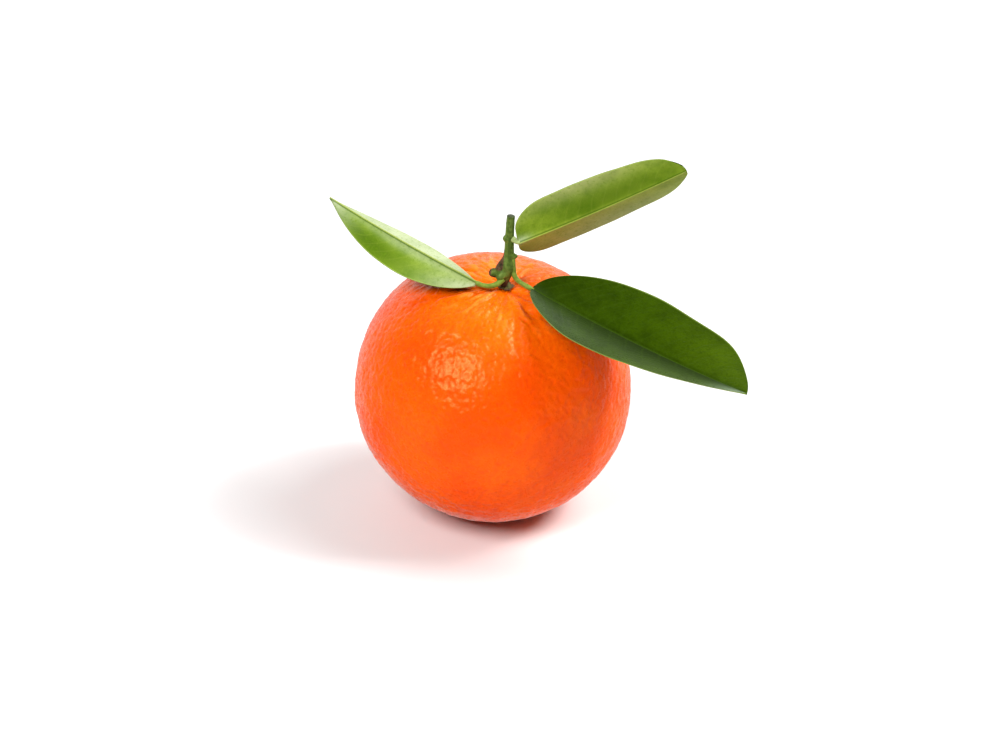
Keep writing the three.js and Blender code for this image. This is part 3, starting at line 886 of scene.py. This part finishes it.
for leaf in LEAVES:
    turned = blade_frame(leaf)
    joint = heading_vector(*leaf["joint"])
    skin, along, across, gap, underside = blade_skin(leaf)
    blade_points, blade_faces = capped(skin)
    blade_points = from_twig(blade_points @ turned.T + joint)
    shown = underside if leaf["shows"] == "underside" else ~underside
    # Painted sheen and glow from the patches, plus the pale joint where the stalk meets the blade.
    pale_and_sheen = patches_over(leaf, "pale_and_sheen", along, across)
    pale_and_sheen += leaf["stalk_pale"] * np.exp(-((along / 0.07) ** 2) - (gap / (1.1 * MM)) ** 2)
    sides = len(underside)
    below = np.tile(underside & np.roll(underside, -1), BLADE_STATIONS - 1)
    chosen = np.concatenate([below, [False, False]])
    make_piece(
        f"leaf_{leaf['name']}",
        blade_points,
        blade_faces,
        [waxy_side, dull_side],
        f"leaf_{leaf['name']}_blade",
        {
            "along": along.ravel(),
            "across": across.ravel(),
            "gap": gap.ravel() / MM,
            "pale_and_sheen": (pale_and_sheen * shown).ravel(),
            "painted_light": (patches_over(leaf, "painted_light", along, across) * shown).ravel(),
            "painted_shade": (patches_over(leaf, "painted_shade", along, across) * shown).ravel(),
        },
        chosen,
    )

    heading, out, height = leaf["stalk"]
    start = heading_vector(heading, out, height)
    dip = leaf["stalk_dip"]
    away = heading_vector(heading, math.cos(dip), -math.sin(dip))
    forward = turned[:, 0]
    end = joint + forward * 0.4 * MM - turned[:, 2] * BLADE_THICKNESS * 0.8
    pull = np.linalg.norm(end - start) * leaf["stalk_pull"]
    path = bezier(start, start + away * pull, end - forward * pull, end, STALK_STATIONS)
    share = np.linspace(0, 1, STALK_STATIONS)
    stalk_radii = STALK_RADIUS + (STALK_FOOT_RADIUS - STALK_RADIUS) * (1 - share) ** 2
    stalk_radii += 0.08 * MM * np.exp(-(((share - 0.88) / 0.08) ** 2))
    stalk_radii[share > 0.97] *= 0.8
    stalk_points, stalk_faces = capped(tube(path, stalk_radii, STALK_SIDES))
    make_piece(
        f"stalk_{leaf['name']}",
        from_twig(stalk_points),
        stalk_faces,
        [stalk_finish],
        f"leaf_{leaf['name']}_stalk",
        {"pale_and_sheen": np.full(len(stalk_points), leaf["stalk_pale"])},
    )


# Floor: a wide plain sheet of pale paper that the fruit stands on. It takes the soft shadow and shows in no
# reflection, so that the peel keeps its deep orange low down.

FLOOR_REACH = 3
PAPER_MOTTLE = 0.2
PAPER_DARK = (0.78, 0.78, 0.78)
PAPER_PALE = (0.82, 0.82, 0.82)

floor_corners = [(-1, -1), (1, -1), (1, 1), (-1, 1)]
floor_mesh = bpy.data.meshes.new("floor")
floor_points = [(x * FLOOR_REACH, y * FLOOR_REACH, 0) for x, y in floor_corners]
floor_mesh.from_pydata(floor_points, [], [(0, 1, 2, 3)])
floor = bpy.data.objects.new("floor", floor_mesh)
bpy.context.scene.collection.objects.link(floor)
paper = Finish("floor_paper")
paper_colour = paper.noise(PAPER_MOTTLE, detail=2).tint(PAPER_DARK, PAPER_PALE)
paper.set(Base_Color=paper_colour, Roughness=0.7)
floor_mesh.materials.append(paper.material)
floor.visible_glossy = False


# Light: a room that is dark in front and white behind, which gives the rims their soft edge light. One soft
# panel at the front left makes the highlight on the peel, another lights the right side, and a broad lamp
# overhead fills in from above.

KEY_HEADING = math.radians(-127)
KEY_ELEVATION = 0.79
KEY_DISTANCE = 0.8
KEY_WIDTH = 0.36
KEY_POWER = 6.2
RIGHT_DIRECTION = (0.72, 0.02, 0.7)
RIGHT_DISTANCE = 0.9
RIGHT_WIDTH = 0.3
RIGHT_POWER = 7
OVERHEAD_DIRECTION = (0.58, 0.08, 0.82)
OVERHEAD_POWER = 1.7
OVERHEAD_SPREAD = math.radians(32)
ROOM_FRONT = (0.09, 0.09, 0.09)
ROOM_BACK = (1, 1, 1)


def panel(name, towards, distance, width, power):
    """A square soft panel that faces the fruit from a direction."""
    light = bpy.data.lights.new(name, "AREA")
    light.size = width
    light.energy = power
    lamp = bpy.data.objects.new(name, light)
    direction = Vector(towards).normalized()
    lamp.location = Vector(fruit_middle) + direction * distance
    lamp.rotation_euler = direction.to_track_quat("Z", "Y").to_euler()
    bpy.context.scene.collection.objects.link(lamp)


world = bpy.data.worlds.new("white_room")
world.use_nodes = True
room = Value(world.node_tree, None)
facing = room.node("ShaderNodeSeparateXYZ", inputs={0: room.node("ShaderNodeTexCoord")}, output=1)
room_colour = facing.rise(0.2, 0.9).tint(ROOM_FRONT, ROOM_BACK)
world.node_tree.links.new(room_colour.socket, world.node_tree.nodes["Background"].inputs["Color"])
bpy.context.scene.world = world
key_direction = heading_vector(KEY_HEADING, math.cos(KEY_ELEVATION), math.sin(KEY_ELEVATION))
panel("key_panel", key_direction, KEY_DISTANCE, KEY_WIDTH, KEY_POWER)
panel("right_panel", RIGHT_DIRECTION, RIGHT_DISTANCE, RIGHT_WIDTH, RIGHT_POWER)
overhead = bpy.data.lights.new("overhead", "SUN")
overhead.energy = OVERHEAD_POWER
overhead.angle = OVERHEAD_SPREAD
overhead_lamp = bpy.data.objects.new("overhead", overhead)
overhead_lamp.rotation_euler = Vector(OVERHEAD_DIRECTION).to_track_quat("Z", "Y").to_euler()
bpy.context.scene.collection.objects.link(overhead_lamp)


# Camera: a long lens a little above the fruit, looking down on it from the front. The aim is set beside the
# fruit's middle so that the leaves at the right have room.

CAMERA_ELEVATION = math.radians(27)
CAMERA_DISTANCE = 0.6
CAMERA_LENS = 100
SENSOR_WIDTH = 36
AIM_RIGHT = 1.6 * MM
AIM_UP = 2.4 * MM

view_up = np.array([0, math.sin(CAMERA_ELEVATION), math.cos(CAMERA_ELEVATION)])
view_back = np.array([0, -math.cos(CAMERA_ELEVATION), math.sin(CAMERA_ELEVATION)])
camera_data = bpy.data.cameras.new("camera")
camera_data.lens = CAMERA_LENS
camera_data.sensor_width = SENSOR_WIDTH
camera = bpy.data.objects.new("camera", camera_data)
aim = fruit_middle + np.array([AIM_RIGHT, 0, 0]) + view_up * AIM_UP
camera.location = aim + view_back * CAMERA_DISTANCE
camera.rotation_euler = Vector(view_back).to_track_quat("Z", "Y").to_euler()
bpy.context.scene.collection.objects.link(camera)
bpy.context.scene.camera = camera
bpy.context.scene.view_settings.view_transform = "Standard"
